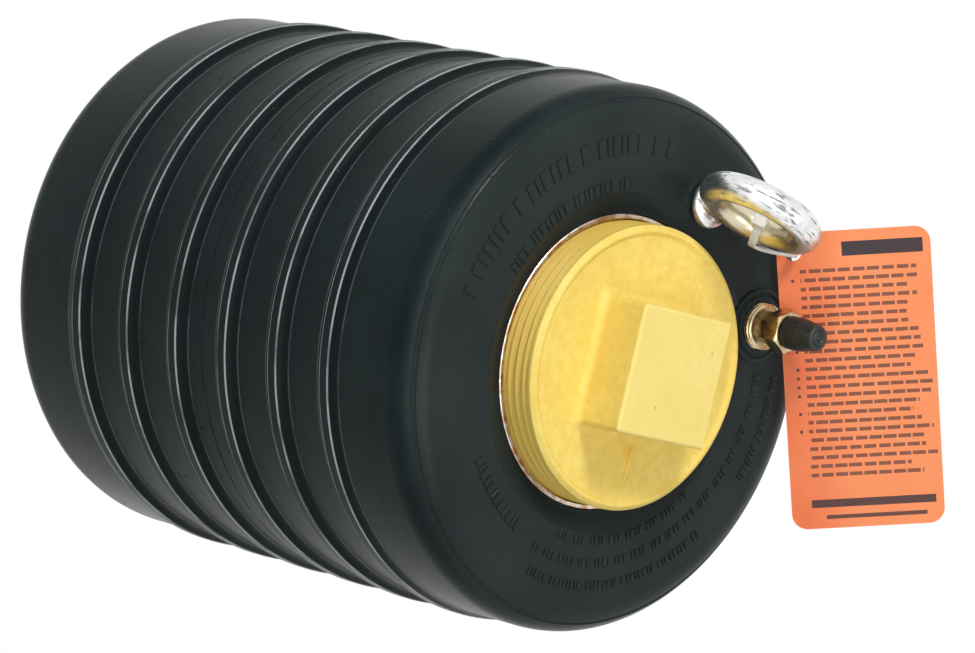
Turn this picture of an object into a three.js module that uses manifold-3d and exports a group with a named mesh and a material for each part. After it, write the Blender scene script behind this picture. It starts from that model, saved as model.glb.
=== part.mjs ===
// Inflatable pipe plug with a bypass, as a three.js scene graph.
//
// Millimetres, +Z up. The plug stands on its flat rear face with its ribbed side upright and its
// working face on top. Heights are measured from the rear face while the pieces are built, and the
// whole group is then lowered so that the origin lies at the middle of the square head's top, on
// the plug's axis. +X runs towards the side with the valve, +Y towards the side with the eye bolt.

import * as THREE from 'three';
import { mergeVertices } from 'three/addons/utils/BufferGeometryUtils.js';
import Module from 'manifold-3d';

const wasm = await Module();
wasm.setup();

// Clearances
const SEAT_GAP = 0.3; // between pieces that touch
const THREAD_GAP = 0.3; // radial, between a thread's crest and its bore

// Rubber body
const BODY_LENGTH = 196; // rear face to front face
const BAND_RADIUS = 86; // plain bands at both ends
const VALLEY_RADIUS = BAND_RADIUS - 1; // between the ribs
const CREST_RADIUS = VALLEY_RADIUS + 2.5; // top of the ribs
const RIB_COUNT = 6;
const RIB_PITCH = 24.3;
const CREST_WIDTH = 4;
const RIB_FOOT_WIDTH = 12.5;
const FRONT_SHOULDER = 11; // radius of the front rounding
const REAR_SHOULDER = 9.5; // radius of the rear rounding
const DISH_WIDTH = 7.5; // sloping band of rubber round the tube's rim
const DISH_DEPTH = 3.3;
const OUTER_WALL = 12;
const INNER_WALL = 6;
const END_WALL = 25; // front wall, thick enough for the insert
const REAR_WALL = 20;
const BODY_SEGMENTS = 64;

// Bypass tube
const TUBE_RADIUS = 46.2;
const TUBE_BORE = 41.5; // behind the threaded socket
const TUBE_FRONT_SETBACK = 3.1; // rim below the front face
const TUBE_REAR_SETBACK = 1.5; // rear end above the floor
const SOCKET_DEPTH = 26; // smooth socket that takes the plug's thread
const SOCKET_STEP = 2; // socket floor below the plug's end

// Bypass plug
const THREAD_RADIUS = 44.45; // crest of the plug's thread
const THREAD_DEPTH = 1.5;
const THREAD_PITCH = 3.175; // eight to the inch
const THREAD_TURNS = 9;
const COLLAR_HEIGHT = 3; // plain band between the last thread and the face
const COLLAR_CHAMFER = 1.3;
const PLUG_FACE_RISE = 12.6; // plug's face above the tube's rim
const FACE_BEAD_INSET = 2.4; // raised bead round the plug's face
const FACE_BEAD_HEIGHT = 1.1;
const PLUG_WALL = 6;
const PLUG_FACE_WALL = 7;
const HEAD_SIDE = 40; // square head, across flats at the top
const HEAD_HEIGHT = 16.8;
const HEAD_DRAFT = 0.5; // each side leans out by this at the base
const HEAD_CORNER = 2;
const HEAD_WALL = 6;
const HEAD_TOP_WALL = 7;
const PLUG_SEGMENTS = 48;

// Eye bolt and its insert
const EYE_ANGLE = 67.3; // degrees round the face from +X
const EYE_INSET = 4.7; // inside the middle of the flat face
const EYE_TURN = -20; // degrees, the ring's plane from +X
const EYE_ROD_RADIUS = 4.75;
const EYE_RING_RADIUS = 15.75; // to the middle of the rod
const EYE_COLLAR_RADIUS = 8;
const EYE_COLLAR_HEIGHT = 2.9;
const EYE_SHANK_RADIUS = 4.9;
const EYE_SHANK_LENGTH = 16; // below the collar
const EYE_SINK = 0.7; // the ring's foot sinks into the collar
const INSERT_RADIUS = 8;
const INSERT_FLANGE_RADIUS = 10.5;
const INSERT_FLANGE_HEIGHT = 3;
const INSERT_LENGTH = 19;
const INSERT_COVER = 1.2; // rubber over the insert, under the collar

// Valve
const VALVE_ANGLE = 20.8; // degrees round the face from +X
const VALVE_INSET = 3.1; // inside the middle of the flat face
const GROMMET_RADIUS = 11.7;
const GROMMET_RIM_HEIGHT = 0.8;
const GROMMET_STEP_RADIUS = 9;
const GROMMET_STEP_HEIGHT = 1.4;
const BUSH_RADIUS = 7.4; // crest of the bush's thread
const BUSH_THREAD_DEPTH = 0.7;
const BUSH_THREAD_PITCH = 1.6;
const BUSH_RISE = 4.2; // bush above the front face
const BUSH_BORE = 4.6;
const NECK_RADIUS = 4.3;
const NECK_DEPTH = 12; // neck below the bush's top
const VALVE_BORE = 1.9;
const HEX_RISE = 9; // back of the hexagon above the front face
const HEX_FLATS = 12.7;
const HEX_HEIGHT = 5.7;
const HEX_CHAMFER = 0.9;
const STEM_RADIUS = 3.85;
const STEM_HEIGHT = 7; // above the hexagon
const CORE_RADIUS = 1.6;
const CORE_LENGTH = 7;
const CORE_RECESS = 1; // core's top below the stem's top
const CORE_CAVITY_RADIUS = 1.15;
const CORE_TOP_WALL = 1.6;
const CORE_LIP = 0.8; // floor of the core, which carries the spring
const PIN_RADIUS = 0.5;
const PIN_HOLE_GAP = 0.1;
const PIN_SEAL_RADIUS = 1.05;
const PIN_STAND = 0.6; // pin above the core's top
const PIN_TAIL = 3; // pin below the core
const PIN_COLLAR_HEIGHT = 0.4; // collar that presses on the spring
const SPRING_RADIUS = 0.8;
const SPRING_WIRE = 0.13;
const SPRING_TURNS = 4;
const CAP_RADIUS = 5.3;
const CAP_TIP_RADIUS = 3.9;
const CAP_HEIGHT = 12.5;
const CAP_DOME = 1.3;
const CAP_TOP_WALL = 2;
const CAP_GAP = 0.3;

// Tag and tie, held as the photograph shows them
const TAG_FROM_VALVE = [-4.9, 29.2, 3.3]; // upper corner from the valve's foot, x, y and up
const TAG_ACROSS = new THREE.Vector3(0.607, 0.265, 0.676); // along the tag's short side
const TAG_DOWN = new THREE.Vector3(0.269, -0.962, -0.018); // along the tag's long side
const TAG_WIDTH = 48.5;
const TAG_LENGTH = 96;
const TAG_THICKNESS = 0.6;
const TAG_CORNER_RADIUS = 5;
const TAG_HOLE_RADIUS = 2.6;
const TAG_HOLE_ACROSS = 5.2;
const TAG_HOLE_DOWN = 6.4;
const TIE_WIDTH = 2.6;
const TIE_THICKNESS = 1.1;
const TIE_CLEARANCE = 0.5; // between the strap and the eye's rod
const TIE_HEAD = [5, 4.6, 4.2];

// Geometry helpers

function clean(geometry) {
  // A closed mesh: one vertex per corner, no empty triangles, faces outwards.
  const bare = geometry.clone();
  bare.deleteAttribute('normal');
  bare.deleteAttribute('uv');
  const merged = mergeVertices(bare, 1e-4);
  const index = merged.index.array;
  const kept = [];
  for (let i = 0; i < index.length; i += 3) {
    const [a, b, c] = [index[i], index[i + 1], index[i + 2]];
    if (a !== b && b !== c && c !== a) kept.push(a, b, c);
  }
  merged.setIndex(kept);
  if (volume(merged) < 0) {
    for (let i = 0; i < kept.length; i += 3) {
      const swap = kept[i];
      kept[i] = kept[i + 1];
      kept[i + 1] = swap;
    }
    merged.setIndex(kept);
  }
  return merged;
}

function volume(geometry) {
  const place = geometry.attributes.position;
  const index = geometry.index.array;
  const [a, b, c] = [new THREE.Vector3(), new THREE.Vector3(), new THREE.Vector3()];
  let sum = 0;
  for (let i = 0; i < index.length; i += 3) {
    a.fromBufferAttribute(place, index[i]);
    b.fromBufferAttribute(place, index[i + 1]);
    c.fromBufferAttribute(place, index[i + 2]);
    sum += a.dot(b.clone().cross(c)) / 6;
  }
  return sum;
}

function toSolid(geometry) {
  const closed = clean(geometry);
  const mesh = new wasm.Mesh({
    numProp: 3,
    vertProperties: new Float32Array(closed.attributes.position.array),
    triVerts: new Uint32Array(closed.index.array),
  });
  return new wasm.Manifold(mesh);
}

function toGeometry(solid) {
  const mesh = solid.getMesh();
  const geometry = new THREE.BufferGeometry();
  geometry.setAttribute('position', new THREE.BufferAttribute(mesh.vertProperties, 3));
  geometry.setIndex(new THREE.BufferAttribute(mesh.triVerts, 1));
  geometry.computeVertexNormals();
  return geometry;
}

function join(...geometries) {
  return toGeometry(geometries.map(toSolid).reduce((all, next) => all.add(next)));
}

function cut(geometry, ...tools) {
  return toGeometry(tools.map(toSolid).reduce((left, tool) => left.subtract(tool), toSolid(geometry)));
}

function turned(profile, segments) {
  // Turns a closed [radius, height] outline about Z.
  const points = profile.map(([radius, height]) => new THREE.Vector2(radius, height));
  points.push(points[0].clone());
  return new THREE.LatheGeometry(points, segments).rotateX(Math.PI / 2);
}

function arc(radius, height, size, from, to, steps) {
  // Points of a rounding about [radius, height], angles in degrees from outwards to up.
  const points = [];
  for (let i = 0; i <= steps; i++) {
    const angle = THREE.MathUtils.degToRad(from + ((to - from) * i) / steps);
    points.push([radius + size * Math.cos(angle), height + size * Math.sin(angle)]);
  }
  return points;
}

function onFace(degrees, radius) {
  const angle = THREE.MathUtils.degToRad(degrees);
  return [radius * Math.cos(angle), radius * Math.sin(angle)];
}

function rod(radius, bottom, top, segments) {
  const height = top - bottom;
  const geometry = new THREE.CylinderGeometry(radius, radius, height, segments).rotateX(Math.PI / 2);
  return geometry.translate(0, 0, (bottom + top) / 2);
}

// Heights that the pieces share
const FRONT_Z = BODY_LENGTH;
const SEAM_Z = BODY_LENGTH / 2;
const TUBE_RIM_Z = FRONT_Z - TUBE_FRONT_SETBACK;
const SOCKET_FLOOR_Z = TUBE_RIM_Z - SOCKET_DEPTH;
const PLUG_FACE_Z = TUBE_RIM_Z + PLUG_FACE_RISE;
const HEAD_TOP_Z = PLUG_FACE_Z + HEAD_HEIGHT;
const COLLAR_BOTTOM_Z = PLUG_FACE_Z - COLLAR_HEIGHT;
const PLUG_END_Z = Math.max(COLLAR_BOTTOM_Z - THREAD_TURNS * THREAD_PITCH, SOCKET_FLOOR_Z + SOCKET_STEP);
const EYE_SEAT_Z = FRONT_Z + SEAT_GAP;
const EYE_RING_Z = EYE_SEAT_Z + EYE_COLLAR_HEIGHT - EYE_SINK + EYE_ROD_RADIUS + EYE_RING_RADIUS;
const INSERT_TOP_Z = FRONT_Z - INSERT_COVER;
const GROMMET_SEAT_Z = FRONT_Z + SEAT_GAP;
const BUSH_TOP_Z = FRONT_Z + BUSH_RISE;
const CHAMBER_TOP_Z = FRONT_Z - END_WALL;
const BUSH_BOTTOM_Z = CHAMBER_TOP_Z;
const HEX_BACK_Z = FRONT_Z + HEX_RISE;
const HEX_FRONT_Z = HEX_BACK_Z + HEX_HEIGHT;
const STEM_TOP_Z = HEX_FRONT_Z + STEM_HEIGHT;
const CORE_TOP_Z = STEM_TOP_Z - CORE_RECESS;
const CORE_BOTTOM_Z = CORE_TOP_Z - CORE_LENGTH;
const PIN_COLLAR_Z = CORE_TOP_Z - CORE_TOP_WALL - SEAT_GAP - PIN_COLLAR_HEIGHT;

// Places on the front face: the eye bolt and the valve stand near the middle of its flat ring, but
// never so near the tube that the insert's flange would break into it
const FACE_BORE = TUBE_RADIUS + SEAT_GAP;
const FACE_MIDDLE = Math.max(
  (FACE_BORE + DISH_WIDTH + BAND_RADIUS - FRONT_SHOULDER) / 2,
  FACE_BORE + INSERT_FLANGE_RADIUS + SEAT_GAP + 1.2 + EYE_INSET,
);
const [EYE_X, EYE_Y] = onFace(EYE_ANGLE, FACE_MIDDLE - EYE_INSET);
const [VALVE_X, VALVE_Y] = onFace(VALVE_ANGLE, FACE_MIDDLE - VALVE_INSET);
const TAG_CORNER = new THREE.Vector3(
  VALVE_X + TAG_FROM_VALVE[0],
  VALVE_Y + TAG_FROM_VALVE[1],
  FRONT_Z + TAG_FROM_VALVE[2],
);

function rubberBody() {
  const bore = TUBE_RADIUS + SEAT_GAP;
  const shoulder = BAND_RADIUS - FRONT_SHOULDER;
  const profile = [
    [bore, 0],
    ...arc(BAND_RADIUS - REAR_SHOULDER, REAR_SHOULDER, REAR_SHOULDER, -90, 0, 3),
  ];
  for (let i = 0; i < RIB_COUNT; i++) {
    const middle = SEAM_Z + (i - (RIB_COUNT - 1) / 2) * RIB_PITCH;
    const outside = i === 0;
    const last = i === RIB_COUNT - 1;
    profile.push([outside ? BAND_RADIUS : VALLEY_RADIUS, middle - RIB_FOOT_WIDTH / 2]);
    profile.push([CREST_RADIUS, middle - CREST_WIDTH / 2]);
    profile.push([CREST_RADIUS, middle + CREST_WIDTH / 2]);
    profile.push([last ? BAND_RADIUS : VALLEY_RADIUS, middle + RIB_FOOT_WIDTH / 2]);
  }
  profile.push(...arc(shoulder, FRONT_Z - FRONT_SHOULDER, FRONT_SHOULDER, 0, 90, 4));
  profile.push([bore + DISH_WIDTH, FRONT_Z]);
  profile.push([bore, FRONT_Z - DISH_DEPTH]);
  const shell = turned(profile, BODY_SEGMENTS);
  const chamber = turned(
    [
      [bore + INNER_WALL, REAR_WALL],
      [VALLEY_RADIUS - OUTER_WALL, REAR_WALL],
      [VALLEY_RADIUS - OUTER_WALL, CHAMBER_TOP_Z],
      [bore + INNER_WALL, CHAMBER_TOP_Z],
    ],
    BODY_SEGMENTS,
  );
  // The insert's pocket and the collar's hole above it
  const pocket = INSERT_RADIUS + SEAT_GAP;
  const flange = INSERT_FLANGE_RADIUS + SEAT_GAP;
  const insertFoot = INSERT_TOP_Z - INSERT_LENGTH;
  const eyeHole = turned(
    [
      [0, insertFoot - SEAT_GAP],
      [flange, insertFoot - SEAT_GAP],
      [flange, insertFoot + INSERT_FLANGE_HEIGHT + SEAT_GAP],
      [pocket, insertFoot + INSERT_FLANGE_HEIGHT + SEAT_GAP],
      [pocket, INSERT_TOP_Z + SEAT_GAP],
      [EYE_SHANK_RADIUS + SEAT_GAP, INSERT_TOP_Z + SEAT_GAP],
      [EYE_SHANK_RADIUS + SEAT_GAP, FRONT_Z + 1],
      [0, FRONT_Z + 1],
    ],
    24,
  ).translate(EYE_X, EYE_Y, 0);
  const port = rod(BUSH_RADIUS + SEAT_GAP, CHAMBER_TOP_Z - 1, FRONT_Z + 1, 24).translate(VALVE_X, VALVE_Y, 0);
  return cut(shell, chamber, eyeHole, port);
}

function bypassTube() {
  const socket = THREAD_RADIUS + THREAD_GAP;
  return clean(
    turned(
      [
        [TUBE_RADIUS, TUBE_REAR_SETBACK],
        [TUBE_RADIUS, TUBE_RIM_Z],
        [socket, TUBE_RIM_Z],
        [socket, SOCKET_FLOOR_Z],
        [TUBE_BORE, SOCKET_FLOOR_Z],
        [TUBE_BORE, TUBE_REAR_SETBACK],
      ],
      PLUG_SEGMENTS,
    ),
  );
}

function squareBlock(side, bottom, top, draft, corner) {
  // A square block with rounded corners, wider by the draft at its bottom.
  const half = side / 2;
  const shape = new THREE.Shape();
  shape.moveTo(half - corner, -half);
  shape.absarc(half - corner, -half + corner, corner, -Math.PI / 2, 0);
  shape.absarc(half - corner, half - corner, corner, 0, Math.PI / 2);
  shape.absarc(-half + corner, half - corner, corner, Math.PI / 2, Math.PI);
  shape.absarc(-half + corner, -half + corner, corner, Math.PI, 1.5 * Math.PI);
  const geometry = new THREE.ExtrudeGeometry(shape, { depth: top - bottom, bevelEnabled: false, curveSegments: 3 });
  geometry.translate(0, 0, bottom);
  const place = geometry.attributes.position;
  for (let i = 0; i < place.count; i++) {
    const lean = (draft * (top - place.getZ(i))) / (top - bottom);
    const scale = (half + lean) / half;
    place.setX(i, place.getX(i) * scale);
    place.setY(i, place.getY(i) * scale);
  }
  return geometry;
}

function bypassPlug() {
  const root = THREAD_RADIUS - THREAD_DEPTH;
  const rim = THREAD_RADIUS;
  const bead = rim - FACE_BEAD_INSET;
  const inside = root - PLUG_WALL;
  const profile = [[inside, PLUG_END_Z]];
  const turns = Math.floor((COLLAR_BOTTOM_Z - PLUG_END_Z) / THREAD_PITCH);
  for (let i = turns; i > 0; i--) {
    profile.push([root, COLLAR_BOTTOM_Z - i * THREAD_PITCH]);
    profile.push([THREAD_RADIUS, COLLAR_BOTTOM_Z - (i - 0.5) * THREAD_PITCH]);
  }
  profile.push([root, COLLAR_BOTTOM_Z]);
  profile.push([rim, COLLAR_BOTTOM_Z + THREAD_PITCH / 4]);
  profile.push([rim, PLUG_FACE_Z - COLLAR_CHAMFER]);
  profile.push([rim - COLLAR_CHAMFER, PLUG_FACE_Z]);
  profile.push([bead, PLUG_FACE_Z]);
  profile.push([bead - FACE_BEAD_HEIGHT, PLUG_FACE_Z - FACE_BEAD_HEIGHT]);
  profile.push([0, PLUG_FACE_Z - FACE_BEAD_HEIGHT]);
  profile.push([0, PLUG_FACE_Z - PLUG_FACE_WALL]);
  profile.push([inside, PLUG_FACE_Z - PLUG_FACE_WALL]);
  const cup = turned(profile, PLUG_SEGMENTS);
  const head = squareBlock(HEAD_SIDE, PLUG_FACE_Z - PLUG_FACE_WALL / 2, HEAD_TOP_Z, HEAD_DRAFT, HEAD_CORNER);
  const coreSide = HEAD_SIDE - 2 * HEAD_WALL;
  const hollow = squareBlock(coreSide, PLUG_FACE_Z - PLUG_FACE_WALL - 1, HEAD_TOP_Z - HEAD_TOP_WALL, HEAD_DRAFT, 1);
  return cut(join(cup, head), hollow);
}

function eyeBolt() {
  const ring = new THREE.TorusGeometry(EYE_RING_RADIUS, EYE_ROD_RADIUS, 12, 32);
  ring.rotateX(Math.PI / 2).translate(0, 0, EYE_RING_Z);
  const collar = turned(
    [
      [0, EYE_SEAT_Z - EYE_SHANK_LENGTH],
      [EYE_SHANK_RADIUS - 0.6, EYE_SEAT_Z - EYE_SHANK_LENGTH],
      [EYE_SHANK_RADIUS, EYE_SEAT_Z - EYE_SHANK_LENGTH + 0.6],
      [EYE_SHANK_RADIUS, EYE_SEAT_Z],
      [EYE_COLLAR_RADIUS - 0.5, EYE_SEAT_Z],
      [EYE_COLLAR_RADIUS, EYE_SEAT_Z + 0.5],
      [EYE_COLLAR_RADIUS, EYE_SEAT_Z + EYE_COLLAR_HEIGHT * 0.6],
      [EYE_COLLAR_RADIUS * 0.8, EYE_SEAT_Z + EYE_COLLAR_HEIGHT],
      [0, EYE_SEAT_Z + EYE_COLLAR_HEIGHT],
    ],
    24,
  );
  return join(ring, collar).rotateZ(THREE.MathUtils.degToRad(EYE_TURN)).translate(EYE_X, EYE_Y, 0);
}

function eyeInsert() {
  const foot = INSERT_TOP_Z - INSERT_LENGTH;
  const bore = EYE_SHANK_RADIUS + THREAD_GAP;
  const floor = Math.min(EYE_SEAT_Z - EYE_SHANK_LENGTH - 1, INSERT_TOP_Z - 1);
  return clean(
    turned(
      [
        [0, foot],
        [INSERT_FLANGE_RADIUS, foot],
        [INSERT_FLANGE_RADIUS, foot + INSERT_FLANGE_HEIGHT],
        [INSERT_RADIUS, foot + INSERT_FLANGE_HEIGHT],
        [INSERT_RADIUS, INSERT_TOP_Z],
        [bore, INSERT_TOP_Z],
        [bore, floor],
        [0, floor],
      ],
      24,
    ).translate(EYE_X, EYE_Y, 0),
  );
}

function valveGrommet() {
  const bore = BUSH_RADIUS + SEAT_GAP;
  return clean(
    turned(
      [
        [bore, GROMMET_SEAT_Z],
        [GROMMET_RADIUS, GROMMET_SEAT_Z],
        [GROMMET_RADIUS, GROMMET_SEAT_Z + GROMMET_RIM_HEIGHT * 0.6],
        [GROMMET_RADIUS - 0.5, GROMMET_SEAT_Z + GROMMET_RIM_HEIGHT],
        [GROMMET_STEP_RADIUS + 0.4, GROMMET_SEAT_Z + GROMMET_RIM_HEIGHT],
        [GROMMET_STEP_RADIUS, GROMMET_SEAT_Z + GROMMET_STEP_HEIGHT],
        [bore, GROMMET_SEAT_Z + GROMMET_STEP_HEIGHT],
      ],
      32,
    ).translate(VALVE_X, VALVE_Y, 0),
  );
}

function valveBush() {
  // A plain sleeve through the front wall, with its thread showing above the rubber.
  const root = BUSH_RADIUS - BUSH_THREAD_DEPTH;
  const threadStart = GROMMET_SEAT_Z + GROMMET_STEP_HEIGHT + 0.2;
  const profile = [
    [BUSH_BORE, BUSH_BOTTOM_Z],
    [BUSH_RADIUS, BUSH_BOTTOM_Z],
    [BUSH_RADIUS, threadStart],
  ];
  const turns = Math.max(1, Math.floor((BUSH_TOP_Z - threadStart) / BUSH_THREAD_PITCH));
  const pitch = (BUSH_TOP_Z - threadStart) / turns;
  for (let i = 0; i < turns; i++) {
    profile.push([root, threadStart + (i + 0.35) * pitch]);
    profile.push([root, threadStart + (i + 0.55) * pitch]);
    profile.push([BUSH_RADIUS, threadStart + (i + 0.85) * pitch]);
    profile.push([BUSH_RADIUS, threadStart + (i + 1) * pitch]);
  }
  profile.push([BUSH_BORE, BUSH_TOP_Z]);
  return clean(turned(profile, 24).translate(VALVE_X, VALVE_Y, 0));
}

function valveBody() {
  const neck = turned(
    [
      [0, BUSH_TOP_Z - NECK_DEPTH],
      [NECK_RADIUS, BUSH_TOP_Z - NECK_DEPTH],
      [NECK_RADIUS, HEX_BACK_Z + 1],
      [0, HEX_BACK_Z + 1],
    ],
    24,
  );
  const corner = HEX_FLATS / Math.sqrt(3);
  const hexagon = new THREE.CylinderGeometry(corner, corner, HEX_HEIGHT, 6).rotateX(Math.PI / 2);
  hexagon.translate(0, 0, HEX_BACK_Z + HEX_HEIGHT / 2);
  const round = turned(
    [
      [0, HEX_BACK_Z - 1],
      [corner - HEX_CHAMFER, HEX_BACK_Z - 1],
      [corner - HEX_CHAMFER, HEX_BACK_Z],
      [corner + 0.2, HEX_BACK_Z + HEX_CHAMFER * 0.7],
      [corner + 0.2, HEX_FRONT_Z - HEX_CHAMFER * 0.7],
      [corner - HEX_CHAMFER, HEX_FRONT_Z],
      [corner - HEX_CHAMFER, HEX_FRONT_Z + 1],
      [0, HEX_FRONT_Z + 1],
    ],
    24,
  );
  const nut = toGeometry(toSolid(hexagon).intersect(toSolid(round)));
  const stem = rod(STEM_RADIUS, HEX_FRONT_Z - 1, STEM_TOP_Z, 24);
  const coreSeat = rod(CORE_RADIUS + THREAD_GAP, CORE_BOTTOM_Z - SEAT_GAP, STEM_TOP_Z + 1, 24);
  const passage = rod(Math.min(VALVE_BORE, CORE_RADIUS), BUSH_TOP_Z - NECK_DEPTH - 1, CORE_BOTTOM_Z + 1, 16);
  return cut(join(neck, nut, stem), coreSeat, passage).translate(VALVE_X, VALVE_Y, 0);
}

function valveCore() {
  const hole = PIN_RADIUS + PIN_HOLE_GAP;
  return clean(
    turned(
      [
        [CORE_CAVITY_RADIUS, CORE_BOTTOM_Z + CORE_LIP],
        [hole, CORE_BOTTOM_Z + CORE_LIP],
        [hole, CORE_BOTTOM_Z],
        [CORE_RADIUS, CORE_BOTTOM_Z],
        [CORE_RADIUS, CORE_TOP_Z],
        [hole, CORE_TOP_Z],
        [hole, CORE_TOP_Z - CORE_TOP_WALL],
        [CORE_CAVITY_RADIUS, CORE_TOP_Z - CORE_TOP_WALL],
      ],
      20,
    ).translate(VALVE_X, VALVE_Y, 0),
  );
}

function valvePin() {
  const sealTop = CORE_BOTTOM_Z - SEAT_GAP;
  return clean(
    turned(
      [
        [0, sealTop - PIN_TAIL],
        [PIN_RADIUS, sealTop - PIN_TAIL],
        [PIN_RADIUS, sealTop - 1],
        [PIN_SEAL_RADIUS, sealTop - 1],
        [PIN_SEAL_RADIUS, sealTop],
        [PIN_RADIUS, sealTop],
        [PIN_RADIUS, PIN_COLLAR_Z],
        [PIN_SEAL_RADIUS - 0.1, PIN_COLLAR_Z],
        [PIN_SEAL_RADIUS - 0.1, PIN_COLLAR_Z + PIN_COLLAR_HEIGHT],
        [PIN_RADIUS, PIN_COLLAR_Z + PIN_COLLAR_HEIGHT],
        [PIN_RADIUS, CORE_TOP_Z + PIN_STAND],
        [0, CORE_TOP_Z + PIN_STAND],
      ],
      16,
    ).translate(VALVE_X, VALVE_Y, 0),
  );
}

class Helix extends THREE.Curve {
  constructor(radius, bottom, top, turns) {
    super();
    Object.assign(this, { radius, bottom, top, turns });
  }

  getPoint(t, target = new THREE.Vector3()) {
    const angle = 2 * Math.PI * this.turns * t;
    const height = this.bottom + (this.top - this.bottom) * t;
    return target.set(this.radius * Math.cos(angle), this.radius * Math.sin(angle), height);
  }
}

function roundShape(radius, sides) {
  const shape = new THREE.Shape();
  for (let i = 0; i < sides; i++) {
    const angle = (2 * Math.PI * i) / sides;
    const point = [radius * Math.cos(angle), radius * Math.sin(angle)];
    if (i === 0) shape.moveTo(...point);
    else shape.lineTo(...point);
  }
  shape.closePath();
  return shape;
}

function valveSpring() {
  const bottom = CORE_BOTTOM_Z + CORE_LIP + SPRING_WIRE + SEAT_GAP / 2;
  const top = PIN_COLLAR_Z - SPRING_WIRE - SEAT_GAP / 2;
  const path = new Helix(SPRING_RADIUS + SPRING_WIRE / 2, bottom, top, SPRING_TURNS);
  const options = { steps: 12 * SPRING_TURNS, extrudePath: path, bevelEnabled: false };
  return clean(new THREE.ExtrudeGeometry(roundShape(SPRING_WIRE, 5), options).translate(VALVE_X, VALVE_Y, 0));
}

function valveCap() {
  const bottom = HEX_FRONT_Z + SEAT_GAP;
  const top = bottom + CAP_HEIGHT;
  const bore = STEM_RADIUS + CAP_GAP;
  const shaft = top - CAP_DOME;
  const shoulder = STEM_TOP_Z + CAP_GAP; // the bore narrows above the stem
  const roof = Math.max(top - CAP_TOP_WALL, shoulder + 0.5);
  const straight = bottom + CAP_HEIGHT * 0.4;
  return clean(
    turned(
      [
        [bore, bottom],
        [CAP_RADIUS, bottom],
        [CAP_RADIUS, straight],
        [CAP_TIP_RADIUS, shaft],
        [CAP_TIP_RADIUS * 0.9, shaft + CAP_DOME * 0.6],
        [CAP_TIP_RADIUS * 0.62, top],
        [0, top],
        [0, roof],
        [bore * 0.55, roof],
        [bore, shoulder],
      ],
      24,
    ).translate(VALVE_X, VALVE_Y, 0),
  );
}

// The tag's own frame: across, down and through, from its upper corner
const TAG_FRAME = (() => {
  const across = TAG_ACROSS.clone().normalize();
  const down = TAG_DOWN.clone().addScaledVector(across, -TAG_DOWN.dot(across)).normalize();
  const through = across.clone().cross(down);
  return new THREE.Matrix4().makeBasis(across, down, through).setPosition(TAG_CORNER);
})();

function tag() {
  const [w, h, r] = [TAG_WIDTH, TAG_LENGTH, TAG_CORNER_RADIUS];
  const shape = new THREE.Shape();
  shape.moveTo(r, 0);
  shape.absarc(w - r, r, r, -Math.PI / 2, 0);
  shape.absarc(w - r, h - r, r, 0, Math.PI / 2);
  shape.absarc(r, h - r, r, Math.PI / 2, Math.PI);
  shape.absarc(r, r, r, Math.PI, 1.5 * Math.PI);
  const hole = new THREE.Path();
  hole.absarc(TAG_HOLE_ACROSS, TAG_HOLE_DOWN, TAG_HOLE_RADIUS, 0, 2 * Math.PI, true);
  shape.holes.push(hole);
  const options = { depth: TAG_THICKNESS, bevelEnabled: false, curveSegments: 6 };
  const geometry = new THREE.ExtrudeGeometry(shape, options).translate(0, 0, -TAG_THICKNESS / 2);
  return clean(geometry.applyMatrix4(TAG_FRAME));
}

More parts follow.
